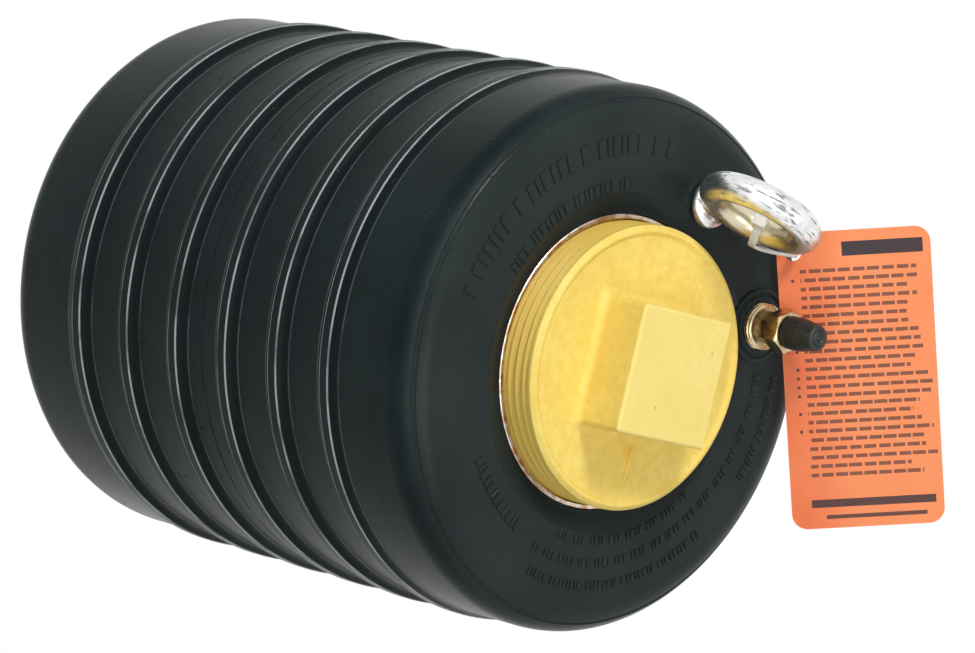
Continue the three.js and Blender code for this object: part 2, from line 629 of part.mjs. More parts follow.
function tagTie() {
  // A strap loop through the eye and the tag's hole, and over the tag's top edge.
  const frame = TAG_FRAME.clone();
  const across = new THREE.Vector3();
  const down = new THREE.Vector3();
  const through = new THREE.Vector3();
  frame.extractBasis(across, down, through);
  const back = TIE_THICKNESS / 2 + TAG_THICKNESS / 2 + SEAT_GAP;
  const overEdge = -TIE_THICKNESS / 2 - SEAT_GAP - 0.9;
  const onTag = (y, z) => new THREE.Vector3(TAG_HOLE_ACROSS, y, z).applyMatrix4(frame);
  // The rod of the eye that the strap goes round: the ring's lower right quarter
  const turn = THREE.MathUtils.degToRad(EYE_TURN);
  const out = new THREE.Vector3(Math.cos(turn), Math.sin(turn), 0);
  const at = THREE.MathUtils.degToRad(-38);
  const spoke = out.clone().multiplyScalar(Math.cos(at)).add(new THREE.Vector3(0, 0, Math.sin(at)));
  const rodCentre = new THREE.Vector3(EYE_X, EYE_Y, EYE_RING_Z).addScaledVector(spoke, EYE_RING_RADIUS);
  const away = EYE_ROD_RADIUS + TIE_CLEARANCE + TIE_THICKNESS / 2;
  const side = new THREE.Vector3(-Math.sin(turn), Math.cos(turn), 0);
  const round = (degrees) => {
    const angle = THREE.MathUtils.degToRad(degrees);
    const point = rodCentre.clone().addScaledVector(spoke, away * Math.cos(angle));
    return point.addScaledVector(side, away * Math.sin(angle));
  };
  const path = new THREE.CatmullRomCurve3(
    [
      round(75),
      round(115),
      round(150),
      round(180),
      round(210),
      round(245),
      round(285),
      onTag(TAG_HOLE_DOWN - 0.4, -5.5),
      onTag(TAG_HOLE_DOWN, -1.2),
      onTag(TAG_HOLE_DOWN - 0.3, back * 0.75),
      onTag(TAG_HOLE_DOWN / 2, back + 0.1),
      onTag(overEdge + 0.6, back * 0.8),
      onTag(overEdge - 0.1, -0.6),
      onTag(overEdge + 0.2, -5.5),
    ],
    true,
    'centripetal',
  );
  const half = [TIE_THICKNESS / 2, TIE_WIDTH / 2];
  const steps = 72;
  const centre = path.getSpacedPoints(steps).slice(0, steps);
  const positions = [];
  const index = [];
  const widthWay = new THREE.Vector3();
  centre.forEach((point, i) => {
    const tangent = centre[(i + 1) % steps].clone().sub(centre[(i + steps - 1) % steps]).normalize();
    widthWay.copy(spoke).cross(side);
    widthWay.addScaledVector(tangent, -widthWay.dot(tangent)).normalize();
    const thickWay = widthWay.clone().cross(tangent);
    [[1, 1], [-1, 1], [-1, -1], [1, -1]].forEach(([a, b]) => {
      const corner = point.clone().addScaledVector(thickWay, a * half[0]).addScaledVector(widthWay, b * half[1]);
      positions.push(...corner.toArray());
    });
    for (let k = 0; k < 4; k++) {
      const next = (k + 1) % 4;
      const ahead = (i + 1) % steps;
      index.push(4 * i + k, 4 * i + next, 4 * ahead + k);
      index.push(4 * i + next, 4 * ahead + next, 4 * ahead + k);
    }
  });
  const strap = new THREE.BufferGeometry();
  strap.setAttribute('position', new THREE.Float32BufferAttribute(positions, 3));
  strap.setIndex(index);
  const head = new THREE.BoxGeometry(...TIE_HEAD);
  const headAway = away + TIE_HEAD[0] / 2 - TIE_THICKNESS / 2;
  const outward = spoke.clone().multiplyScalar(-1);
  const basis = new THREE.Matrix4().makeBasis(outward, side, outward.clone().cross(side));
  head.applyMatrix4(basis.setPosition(rodCentre.clone().addScaledVector(outward, headAway)));
  return join(strap, head);
}

// Materials
const rubber = new THREE.MeshStandardMaterial({ color: 0x15181a, roughness: 0.45, metalness: 0 });
const tubeMetal = new THREE.MeshStandardMaterial({ color: 0xc9bfae, roughness: 0.35, metalness: 1 });
const yellow = new THREE.MeshStandardMaterial({ color: 0xf0c83c, roughness: 0.55, metalness: 0 });
const zinc = new THREE.MeshStandardMaterial({ color: 0xb9bdc0, roughness: 0.3, metalness: 1 });
const steel = new THREE.MeshStandardMaterial({ color: 0x9a9ca0, roughness: 0.4, metalness: 1 });
const brass = new THREE.MeshStandardMaterial({ color: 0xb98a4a, roughness: 0.3, metalness: 1 });
const blackPlastic = new THREE.MeshStandardMaterial({ color: 0x17181a, roughness: 0.5, metalness: 0 });
const card = new THREE.MeshStandardMaterial({ color: 0xf0733f, roughness: 0.6, metalness: 0 });
const nylon = new THREE.MeshStandardMaterial({ color: 0xe6e6de, roughness: 0.4, metalness: 0 });

// Scene graph
const plug = new THREE.Group();

function place(name, geometry, material, parent = plug) {
  const mesh = new THREE.Mesh(geometry, material);
  mesh.name = name;
  parent.add(mesh);
  return mesh;
}

place('rubber_body', rubberBody(), rubber);
place('bypass_tube', bypassTube(), tubeMetal);
place('bypass_plug', bypassPlug(), yellow);
place('eye_bolt', eyeBolt(), zinc);
place('eye_insert', eyeInsert(), steel);
place('valve_grommet', valveGrommet(), rubber);
place('valve_bush', valveBush(), brass);
place('valve_body', valveBody(), brass);
place('valve_core', valveCore(), brass);
place('valve_pin', valvePin(), brass);
place('valve_spring', valveSpring(), steel);
place('valve_cap', valveCap(), blackPlastic);
place('tag', tag(), card);
place('tag_tie', tagTie(), nylon);

plug.position.z = -HEAD_TOP_Z;

const model = new THREE.Group();
model.add(plug);

export default model;
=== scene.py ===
# %% [markdown]
# # An inflatable pipe plug
# This notebook dresses a pipe plug: a ribbed rubber cylinder that is pushed into a drain and blown
# up with air until it seals. A metal tube runs through its middle, closed by a yellow screw plug
# with a square head. On its front face stand an eye bolt, a brass air valve and a printed tag.
# The plain solids come from a CAD part. Here each one gets its fine shape and its finish.

# %% Load the CAD part
import math

import bmesh
import bpy
from mathutils import Matrix, Vector


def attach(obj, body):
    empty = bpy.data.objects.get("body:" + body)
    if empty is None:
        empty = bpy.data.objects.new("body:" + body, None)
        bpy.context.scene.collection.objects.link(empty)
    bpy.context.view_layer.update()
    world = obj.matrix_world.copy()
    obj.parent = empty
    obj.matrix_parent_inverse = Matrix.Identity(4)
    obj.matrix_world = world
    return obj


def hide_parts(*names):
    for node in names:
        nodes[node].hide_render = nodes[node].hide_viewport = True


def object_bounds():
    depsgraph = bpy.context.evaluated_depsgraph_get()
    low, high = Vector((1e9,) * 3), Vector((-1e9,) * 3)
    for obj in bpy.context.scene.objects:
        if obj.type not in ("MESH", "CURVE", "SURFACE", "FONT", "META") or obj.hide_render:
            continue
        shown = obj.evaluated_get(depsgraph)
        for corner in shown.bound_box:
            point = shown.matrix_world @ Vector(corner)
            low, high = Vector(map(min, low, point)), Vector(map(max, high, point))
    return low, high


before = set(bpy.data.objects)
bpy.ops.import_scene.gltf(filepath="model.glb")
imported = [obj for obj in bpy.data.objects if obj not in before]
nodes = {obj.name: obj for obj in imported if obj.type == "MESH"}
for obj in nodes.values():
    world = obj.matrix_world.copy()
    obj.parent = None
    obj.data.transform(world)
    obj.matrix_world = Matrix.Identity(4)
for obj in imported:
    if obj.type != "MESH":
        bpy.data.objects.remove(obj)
cad_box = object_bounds()
print("CAD nodes:", sorted(nodes))

# %% [markdown]
# ## Heights
# The part stands on its rear face and its origin is the top of the square head. It is easier to
# think in millimetres above the rear face, so one small function turns such a height into metres.

# %% Sizes that the pieces share
MM = 0.001
HEAD_TOP = -cad_box[0].z / MM
FACE = 196.0  # front face of the rubber
SEAM = FACE / 2


def up(height):
    """A height above the rear face, in millimetres, as a place in the scene."""
    return (height - HEAD_TOP) * MM


print(f"the head's top is {HEAD_TOP:.1f} mm above the rear face")

# %% [markdown]
# ## Turning on a lathe
# Most pieces here are round: the rubber, the tube, the screw plug and the valve. A lathe shape is
# made as by hand: one vertex is extruded along half of the outline and then spun round. Merging
# doubles closes the seam and the poles, and recalculating the normals turns every face outwards.


# %% Helpers for modelling
def bare():
    """Leaves nothing selected, so that the next operator acts on the new piece alone."""
    bpy.ops.object.select_all(action="DESELECT")


def settle(name, angle=35):
    """Names the active piece, puts its place into its mesh and shades its soft edges smooth."""
    piece = bpy.context.object
    piece.name = name
    bpy.ops.object.transform_apply(location=True, rotation=True, scale=True)
    bpy.ops.object.shade_smooth_by_angle(angle=math.radians(angle))
    return piece


def turned(name, outline, steps=96, at=(0, 0), angle=35):
    """Spins an outline of (radius, height) points, in millimetres, about a vertical axis."""
    bare()
    bpy.ops.mesh.primitive_plane_add(size=MM, location=(0, 0, 0))
    bpy.ops.object.mode_set(mode="EDIT")
    bpy.ops.mesh.select_mode(type="VERT")
    bpy.ops.mesh.merge(type="CENTER")
    radius, height = outline[0]
    bpy.ops.transform.translate(value=(radius * MM, 0, up(height)))
    closed = outline if radius == 0 else [*outline, outline[0]]
    for (r0, h0), (r1, h1) in zip(closed, closed[1:]):
        move = ((r1 - r0) * MM, 0, (h1 - h0) * MM)
        bpy.ops.mesh.extrude_vertices_move(TRANSFORM_OT_translate={"value": move})
    bpy.ops.mesh.select_all(action="SELECT")
    bpy.ops.mesh.spin(steps=steps, angle=math.tau, center=(0, 0, 0), axis=(0, 0, 1))
    bpy.ops.mesh.select_all(action="SELECT")
    bpy.ops.mesh.remove_doubles(threshold=0.005 * MM)
    bpy.ops.mesh.normals_make_consistent(inside=False)
    bpy.ops.transform.translate(value=(at[0] * MM, at[1] * MM, 0))
    bpy.ops.object.mode_set(mode="OBJECT")
    return settle(name, angle)


def rounding(radius, height, size, start, end, steps=6):
    """Points of a rounded corner about (radius, height), from one angle to another."""
    angles = [math.radians(start + (end - start) * i / steps) for i in range(steps + 1)]
    return [(radius + size * math.cos(a), height + size * math.sin(a)) for a in angles]


def pick(piece, kind, test):
    """In edit mode, selects the verts, edges or faces that pass a test."""
    modes = {"verts": "VERT", "edges": "EDGE", "faces": "FACE"}
    bpy.ops.mesh.select_mode(type=modes[kind])
    bpy.ops.mesh.select_all(action="DESELECT")
    mesh = bmesh.from_edit_mesh(piece.data)
    for part in getattr(mesh, kind):
        if test(part):
            part.select_set(True)
    mesh.select_flush_mode()
    bmesh.update_edit_mesh(piece.data)


def use(piece, kind, **settings):
    """Adds a modifier to a piece and applies it."""
    bare()
    piece.select_set(True)
    bpy.context.view_layer.objects.active = piece
    modifier = piece.modifiers.new(kind.title(), kind)
    for key, value in settings.items():
        setattr(modifier, key, value)
    bpy.ops.object.modifier_apply(modifier=modifier.name)
    return piece


def joined(name, *parts, angle=35):
    """Joins several pieces into the first one."""
    bare()
    for part in parts:
        part.select_set(True)
    bpy.context.view_layer.objects.active = parts[0]
    bpy.ops.object.join()
    return settle(name, angle)


# %% [markdown]
# ## The rubber body
# The body is moulded rubber with six ribs that grip the pipe. Each rib has a narrow flat top with
# crisp edges and hollow flanks that run out into a wide valley. The front shoulder is a broad
# rounding with a low step in it, and the face dips towards the tube in the middle.

# %% The rubber's outline
BORE = 46.5
BAND = 86.0
VALLEY = 85.0
CREST = 87.5
RIB_PITCH = 24.3
RIB_TOP = 4.0  # width of the flat top
RIB_FLANK = 4.3  # width of each hollow flank
HOLLOW = 2.2  # how deeply the flanks are hollowed, 1 is straight
LATHE_STEPS = 200  # facets round the rubber


def flank(base, side, middle):
    """A rib's hollow flank, from its foot up to the top's edge. Side is -1 below and 1 above."""
    points = []
    for i in range(6):
        run = i / 6
        away = RIB_TOP / 2 + RIB_FLANK * (1 - run)
        points.append((base + (CREST - base) * run**HOLLOW, middle + side * away))
    points.append((CREST - 0.25, middle + side * (RIB_TOP / 2 + 0.12)))
    points.append((CREST, middle + side * (RIB_TOP / 2 - 0.3)))
    return points


rubber_outline = [(BORE, 0), (70, 0), *rounding(BAND - 9.5, 9.5, 9.5, -90, 0, 8)]
for rib in range(6):
    rib_middle = SEAM + (rib - 2.5) * RIB_PITCH
    rubber_outline += flank(BAND if rib == 0 else VALLEY, -1, rib_middle)
    rubber_outline += reversed(flank(BAND if rib == 5 else VALLEY, 1, rib_middle))
rubber_outline += rounding(75, FACE - 11, 11, 0, 46, 7)
rubber_outline += rounding(75, FACE - 11, 10.55, 49, 53, 1)
rubber_outline += rounding(75, FACE - 11, 11, 56, 90, 6)
rubber_outline += [(56, FACE), *rounding(54.2, FACE - 1.5, 1.5, 80, 118, 3)]
rubber_outline += [(48.2, FACE - 3.1), (BORE, FACE - 3.3)]
rubber_shell = turned("rubber_shell", rubber_outline, steps=LATHE_STEPS, angle=28)
print("rubber outline:", len(rubber_outline), "points")

# %% [markdown]
# The face carries several rows of raised marks that follow arcs round the middle. Here they are
# plain short bars. One bar is made and bevelled, and each copy gets its own mesh and its own width.

# %% Raised bars on the front face
bare()
bpy.ops.mesh.primitive_cube_add(size=MM, location=(0, 0, 0))
bar = bpy.context.object
bpy.ops.object.mode_set(mode="EDIT")
pick(bar, "edges", lambda edge: all(v.co.z > 0 for v in edge.verts))
bpy.ops.mesh.bevel(offset=0.18 * MM, segments=1, affect="EDGES")
bpy.ops.object.mode_set(mode="OBJECT")

BAR_RELIEF = 0.55  # above the face
BAR_WIDTHS = (1.0, 0.55, 1.35, 0.8, 1.15, 0.6, 0.95, 1.3, 0.7, 1.1, 0.5)


def bar_row(radius, start, end, tall, wide, spaces=()):
    """Sets bars along an arc of the face, skipping the numbered places in spaces."""
    bars = []
    angle, count = start, 0
    step = -1 if end < start else 1
    while (end - angle) * step > 0:
        width = wide * BAR_WIDTHS[count % len(BAR_WIDTHS)]
        turn = math.degrees((width + 0.55 * wide) / radius)
        if count % 9 not in spaces:
            a = math.radians(angle + step * turn / 2)
            copy = bar.copy()
            copy.data = bar.data.copy()
            bpy.context.collection.objects.link(copy)
            middle_height = up(FACE + BAR_RELIEF / 2 - 0.2)
            copy.location = (radius * MM * math.cos(a), radius * MM * math.sin(a), middle_height)
            copy.rotation_euler = (0, 0, a)
            copy.scale = (tall, width, BAR_RELIEF + 0.4)
            bars.append(copy)
        angle += step * turn
        count += 1
    return bars


face_bars = bar_row(68.3, 172, 87, 6.0, 2.3, spaces=(1, 8))
face_bars += bar_row(55.9, 159, 104, 3.8, 1.5, spaces=(4,))
face_bars += bar_row(60.8, -143, -116, 4.0, 1.7)
face_bars += bar_row(55.4, -99, -40, 2.6, 1.2, spaces=(3, 7))
face_bars += bar_row(62.4, -107, -31, 2.6, 1.2, spaces=(2, 6))
face_bars += bar_row(69.6, -105, -42, 2.6, 1.2, spaces=(5,))
face_bars += bar_row(62.6, 6, -31, 2.6, 1.2, spaces=(4, 8))
face_bars += bar_row(70.4, 6, -22, 2.6, 1.2, spaces=(3,))
print("raised bars:", len(face_bars))
bpy.data.objects.remove(bar)
face_marks = joined("face_marks", *face_bars, angle=30)

# %% [markdown]
# ## The tube and its screw plug
# The tube shows only as a thin bright ring round the yellow plug. The plug is one moulding: a
# threaded cup whose face carries a square head. Its thread is drawn as rings, because no one can
# see the lead of such a fine thread. The head is a cube with rounded edges, and its foot is
# extruded and widened in steps, so that it flows into the face.

# %% The tube
RIM = 192.9  # front edge of the tube
TUBE = 46.2
SOCKET = 44.75
tube_outline = [
    (TUBE, 1.5), (TUBE, RIM - 0.25), (TUBE - 0.25, RIM), (SOCKET + 0.2, RIM), (SOCKET, RIM - 0.2),
    (SOCKET, RIM - 26), (41.5, RIM - 26), (41.5, 1.5),
]
tube_wall = turned("tube_wall", tube_outline, steps=144, angle=30)

# %% The plug's cup
THREAD = 44.45
THREAD_PITCH = 3.175
PLUG_FACE = 205.5
RIDGE_DEPTH = 1.35
RIDGES = 8
FACE_DIP = 1.1  # the face lies this much below its rim
plug_outline = [(36.95, 176)]
collar_foot = PLUG_FACE - 3
for ridge in range(RIDGES, 0, -1):
    low = collar_foot - ridge * THREAD_PITCH
    root = THREAD - RIDGE_DEPTH
    plug_outline += [(root, low), (THREAD - 0.25, low + 0.36 * THREAD_PITCH)]
    plug_outline += [(THREAD, low + 0.5 * THREAD_PITCH), (THREAD - 0.25, low + 0.64 * THREAD_PITCH)]
plug_outline += [(THREAD - RIDGE_DEPTH, collar_foot), (THREAD, collar_foot + 0.7), (THREAD, PLUG_FACE - 1.5)]
plug_outline += rounding(THREAD - 0.4, PLUG_FACE - 1.4, 0.4, 10, 45, 2)
plug_outline += rounding(THREAD - 1.5, PLUG_FACE - 0.3, 0.3, 45, 90, 2)
plug_outline += rounding(42.35, PLUG_FACE - 0.3, 0.3, 90, 135, 2)
plug_outline += [(41.3, PLUG_FACE - FACE_DIP + 0.15), (40.6, PLUG_FACE - FACE_DIP)]
plug_outline += [(0, PLUG_FACE - FACE_DIP), (0, 198.5), (36.95, 198.5)]
plug_cup = turned("plug_cup", plug_outline, steps=160, angle=40)

# %% The plug's square head
HEAD = 40.0
HEAD_FLARE = 2.6  # size of the rounding at the head's foot
head_foot = PLUG_FACE - FACE_DIP + HEAD_FLARE
head_rise = HEAD_TOP - head_foot
bare()
bpy.ops.mesh.primitive_cube_add(
    size=1,
    location=(0, 0, up(head_foot + head_rise / 2)),
    scale=(HEAD * MM, HEAD * MM, head_rise * MM),
)
square_head = settle("square_head")
bpy.ops.object.mode_set(mode="EDIT")
pick(square_head, "edges", lambda edge: abs(edge.verts[0].co.z - edge.verts[1].co.z) > 1 * MM)
bpy.ops.mesh.bevel(offset=1.5 * MM, segments=4, affect="EDGES")
pick(square_head, "edges", lambda edge: all(v.co.z > up(HEAD_TOP - 0.01) for v in edge.verts))
bpy.ops.mesh.bevel(offset=0.9 * MM, segments=3, affect="EDGES")
pick(square_head, "faces", lambda face: face.normal.z < -0.9)
bpy.ops.mesh.delete(type="ONLY_FACE")
pick(square_head, "edges", lambda edge: all(v.co.z < up(head_foot + 0.01) for v in edge.verts))
half, drop = HEAD / 2, 0.0
for step in range(1, 7):
    angle = math.radians(15 * step)
    wide = HEAD / 2 + HEAD_FLARE * (1 - math.cos(angle))
    low = HEAD_FLARE * math.sin(angle)
    bpy.ops.mesh.extrude_edges_move(TRANSFORM_OT_translate={"value": (0, 0, (drop - low) * MM)})
    bpy.ops.transform.resize(value=(wide / half, wide / half, 1), center_override=(0, 0, 0))
    half, drop = wide, low
bpy.ops.mesh.extrude_edges_move(TRANSFORM_OT_translate={"value": (0, 0, -0.4 * MM)})
bpy.ops.mesh.edge_face_add()
bpy.ops.mesh.select_all(action="SELECT")
bpy.ops.mesh.bisect(
    plane_co=(19.9 * MM, 0, up(HEAD_TOP - 3.4)), plane_no=(0.86, 0, 0.51), use_fill=True, clear_outer=True
)
bpy.ops.mesh.select_all(action="SELECT")
bpy.ops.mesh.normals_make_consistent(inside=False)
bpy.ops.object.mode_set(mode="OBJECT")
bpy.ops.object.shade_smooth_by_angle(angle=math.radians(35))

# %% The small web below the head
bare()
bpy.ops.mesh.primitive_cube_add(
    size=1,
    location=(5.4 * MM, -31 * MM, up(PLUG_FACE - 0.5)),
    scale=(0.9 * MM, 14 * MM, 1.5 * MM),
)
face_web = settle("face_web")
bpy.ops.object.mode_set(mode="EDIT")
pick(face_web, "verts", lambda vert: vert.co.z > up(PLUG_FACE) and vert.co.y < -31 * MM)
bpy.ops.transform.translate(value=(0, 0, -0.7 * MM))
pick(face_web, "edges", lambda edge: all(v.co.z > up(PLUG_FACE - 0.9) for v in edge.verts))
bpy.ops.mesh.bevel(offset=0.3 * MM, segments=2, affect="EDGES")
bpy.ops.object.mode_set(mode="OBJECT")
screw_plug = joined("screw_plug", plug_cup, square_head, face_web, angle=38)

# %% [markdown]
# ## The eye bolt
# A forged eye has no sharp corners where its ring grows out of its collar. A torus and a turned
# collar are joined and given one new skin by the Remesh modifier, and a Smooth modifier melts the
# joint into a soft fillet.

# %% The eye bolt
EYE = Vector((23.08, 55.17, 0)) * MM
EYE_TURN = math.radians(-20)
EYE_RING = 15.75
EYE_ROD = 4.75
EYE_HEIGHT = 219.0  # middle of the ring
bare()
bpy.ops.mesh.primitive_torus_add(
    major_radius=EYE_RING * MM,
    minor_radius=EYE_ROD * MM,
    major_segments=96,
    minor_segments=40,
    location=(EYE.x, EYE.y, up(EYE_HEIGHT)),
    rotation=(math.pi / 2, 0, EYE_TURN),
)
eye_ring = settle("eye_ring")
collar_outline = [
    (0, 180.5), (4.4, 180.5), (4.9, 181.2), (4.9, FACE + 0.3), (7.4, FACE + 0.3), (8, FACE + 0.9),
    (8, FACE + 1.9), (7.5, FACE + 2.9), (6.2, FACE + 3.4), (4.6, FACE + 5), (0, FACE + 5.6),
]
eye_collar = turned("eye_collar", collar_outline, steps=64, at=(EYE.x / MM, EYE.y / MM))
eye = joined("eye", eye_ring, eye_collar)
use(eye, "REMESH", mode="VOXEL", voxel_size=0.42 * MM)
use(eye, "SMOOTH", factor=0.5, iterations=5)
bpy.ops.object.shade_smooth_by_angle(angle=math.radians(60))
print("eye bolt faces:", len(eye.data.polygons))

# %% [markdown]
# ## The air valve
# The valve is a stack of turned pieces: a rubber grommet on the face, a brass bush with a few
# turns of thread, a neck, a hexagon for the spanner and a stem under a black cap. The hexagon is
# cut by a turned blank, which gives its corners the round chamfers of a real nut.

# %% The grommet, the bush and the cap
VALVE = (57.4, 21.8)
grommet_outline = [
    (7.7, FACE + 0.3), (11.7, FACE + 0.3), (11.7, FACE + 0.8), (11.3, FACE + 1.1), (10.5, FACE + 1.1),
    (10.2, FACE + 0.75), (9.7, FACE + 0.75), (9.3, FACE + 1.5), (8.8, FACE + 1.7), (7.7, FACE + 1.7),
]
grommet = turned("grommet", grommet_outline, steps=64, at=VALVE)

BUSH_TOP = FACE + 4.2
bush_outline = [(4.6, 171), (7.4, 171), (7.4, FACE + 1.6)]
for ring_foot in (FACE + 1.8, FACE + 3.0):
    bush_outline += [(6.7, ring_foot), (6.7, ring_foot + 0.25), (7.35, ring_foot + 0.6)]
    bush_outline += [(7.35, ring_foot + 0.8), (6.8, ring_foot + 1.1)]
bush_outline += [(6.2, BUSH_TOP), (4.6, BUSH_TOP)]
bush = turned("bush", bush_outline, steps=64, at=VALVE)

HEX_BACK = FACE + 9
HEX_FRONT = HEX_BACK + 5.7
CAP_FOOT = HEX_FRONT + 0.3
CAP_TOP = CAP_FOOT + 12.5
cap_outline = [(4.15, CAP_FOOT), (5.1, CAP_FOOT), (5.3, CAP_FOOT + 0.3), (5.3, CAP_FOOT + 4.6)]
cap_outline += [(4.9, CAP_FOOT + 7), (4.2, CAP_FOOT + 10.2), *rounding(2.9, CAP_TOP - 1.45, 1.2, 10, 90, 5)]
cap_outline += [(2.45, CAP_TOP - 0.55), (2.1, CAP_TOP - 0.1), (1.7, CAP_TOP), (1.35, CAP_TOP - 0.4)]
cap_outline += [(0.8, CAP_TOP - 0.45), (0.5, CAP_TOP - 0.1), (0, CAP_TOP - 0.05)]
cap_outline += [(0, CAP_TOP - 2), (2.3, CAP_TOP - 2), (4.15, HEX_FRONT + 7.3)]
cap = turned("cap", cap_outline, steps=56, at=VALVE, angle=30)

# %% The hexagon with its neck and stem
HEX_ACROSS = 12.7
NECK_CORNER = 5.4
PIN_BORE = 2.8  # the stem's own wall closes this bore down to the core and the pin
bare()
bpy.ops.mesh.primitive_cylinder_add(
    vertices=6,
    radius=HEX_ACROSS / math.sqrt(3) * MM,
    depth=(HEX_FRONT - HEX_BACK) * MM,
    location=(VALVE[0] * MM, VALVE[1] * MM, up((HEX_BACK + HEX_FRONT) / 2)),
)
hexagon = settle("hexagon")
blank_outline = [
    (0, HEX_BACK - 1), (6.1, HEX_BACK - 1), (6.1, HEX_BACK), (7.5, HEX_BACK + 0.8),
    (7.5, HEX_FRONT - 0.8), (6.1, HEX_FRONT), (6.1, HEX_FRONT + 1), (0, HEX_FRONT + 1),
]
blank = turned("blank", blank_outline, steps=72, at=VALVE)
use(hexagon, "BOOLEAN", operation="INTERSECT", object=blank, solver="EXACT")
use(hexagon, "BEVEL", width=0.12 * MM, segments=2, limit_method="ANGLE", angle_limit=math.radians(25))
bpy.data.objects.remove(blank)

bare()
bpy.ops.mesh.primitive_cylinder_add(
    vertices=6,
    radius=NECK_CORNER * MM,
    depth=(HEX_BACK - BUSH_TOP + 1.2) * MM,
    location=(VALVE[0] * MM, VALVE[1] * MM, up((HEX_BACK + BUSH_TOP) / 2)),
    rotation=(0, 0, math.radians(12)),
)
neck = settle("neck")
use(neck, "BEVEL", width=0.5 * MM, segments=3, limit_method="ANGLE", angle_limit=math.radians(25))
drill_outline = [(0, BUSH_TOP - 14), (PIN_BORE, BUSH_TOP - 14), (PIN_BORE, HEX_FRONT + 2), (0, HEX_FRONT + 2)]
drill = turned("drill", drill_outline, at=VALVE)
for solid in (hexagon, neck):
    use(solid, "BOOLEAN", operation="DIFFERENCE", object=drill, solver="EXACT")
bpy.data.objects.remove(drill)
stem_outline = [
    (1.6, BUSH_TOP - 12), (4.3, BUSH_TOP - 12), (4.3, HEX_BACK), (3.85, HEX_FRONT), (3.85, HEX_FRONT + 6.6),
    (3.5, HEX_FRONT + 7), (1.95, HEX_FRONT + 7), (1.95, HEX_FRONT - 2), (1.6, HEX_FRONT - 2),
]
stem = turned("stem", stem_outline, steps=48, at=VALVE)
valve = joined("valve", hexagon, neck, stem, angle=30)

# %% [markdown]
# ## The tag and its tie
# The tag is a thin sheet with round corners, drawn flat in its own frame and then laid in place by
# one matrix: its short side, its long side and the direction through it. The tie is the CAD strap
# with a new, softer skin.

# %% The tag
TAG_CORNER = Vector((VALVE[0] - 4.9, VALVE[1] + 29.2, FACE + 3.3 - HEAD_TOP)) * MM
TAG_ACROSS = Vector((0.607, 0.265, 0.676)).normalized()
TAG_DOWN = Vector((0.269, -0.962, -0.018))
TAG_DOWN = (TAG_DOWN - TAG_ACROSS * TAG_DOWN.dot(TAG_ACROSS)).normalized()
TAG_THROUGH = TAG_ACROSS.cross(TAG_DOWN)
TAG_WIDTH, TAG_LENGTH, TAG_SHEET = 48.5, 96.0, 0.6
tag_place = Matrix((TAG_ACROSS, TAG_DOWN, TAG_THROUGH)).transposed().to_4x4()
tag_place.translation = TAG_CORNER

bare()
bpy.ops.mesh.primitive_plane_add(
    size=MM,
    location=(TAG_WIDTH / 2 * MM, TAG_LENGTH / 2 * MM, -TAG_SHEET / 2 * MM),
)
bpy.context.object.scale = (TAG_WIDTH, TAG_LENGTH, 1)
sheet = settle("sheet")
bpy.ops.object.mode_set(mode="EDIT")
bpy.ops.mesh.select_mode(type="VERT")
bpy.ops.mesh.select_all(action="SELECT")
bpy.ops.mesh.bevel(offset=5 * MM, segments=8, affect="VERTICES")
bpy.ops.mesh.select_all(action="SELECT")
bpy.ops.mesh.extrude_region_move(TRANSFORM_OT_translate={"value": (0, 0, TAG_SHEET * MM)})
bpy.ops.mesh.select_all(action="SELECT")
bpy.ops.mesh.normals_make_consistent(inside=False)
bpy.ops.object.mode_set(mode="OBJECT")
bare()
bpy.ops.mesh.primitive_cylinder_add(
    vertices=32,
    radius=2.6 * MM,
    depth=4 * MM,
    location=(5.2 * MM, 6.4 * MM, 0),
)
punch = bpy.context.object
use(sheet, "BOOLEAN", operation="DIFFERENCE", object=punch, solver="EXACT")
bpy.data.objects.remove(punch)
sheet.matrix_world = tag_place
sheet = settle("printed_tag", angle=30)

# %% The tie
strap = nodes["tag_tie"].copy()
strap.data = nodes["tag_tie"].data.copy()
bpy.context.collection.objects.link(strap)
strap.parent = None
strap.name = "tie_strap"
bare()
strap.select_set(True)
bpy.context.view_layer.objects.active = strap
bpy.ops.object.mode_set(mode="EDIT")
bpy.ops.mesh.select_all(action="SELECT")
bpy.ops.mesh.remove_doubles(threshold=0.002 * MM)
bpy.ops.object.mode_set(mode="OBJECT")
use(strap, "REMESH", mode="VOXEL", voxel_size=0.22 * MM)
use(strap, "SMOOTH", factor=0.5, iterations=3)
bpy.ops.object.shade_smooth_by_angle(angle=math.radians(60))

# %% [markdown]
# ## Shader sums
# Each finish is a small sum of noises, ramps and masks. The class below wraps a socket, so that a
# sum reads like one: `ridge * 0.4 + grain` adds its Math nodes by itself.


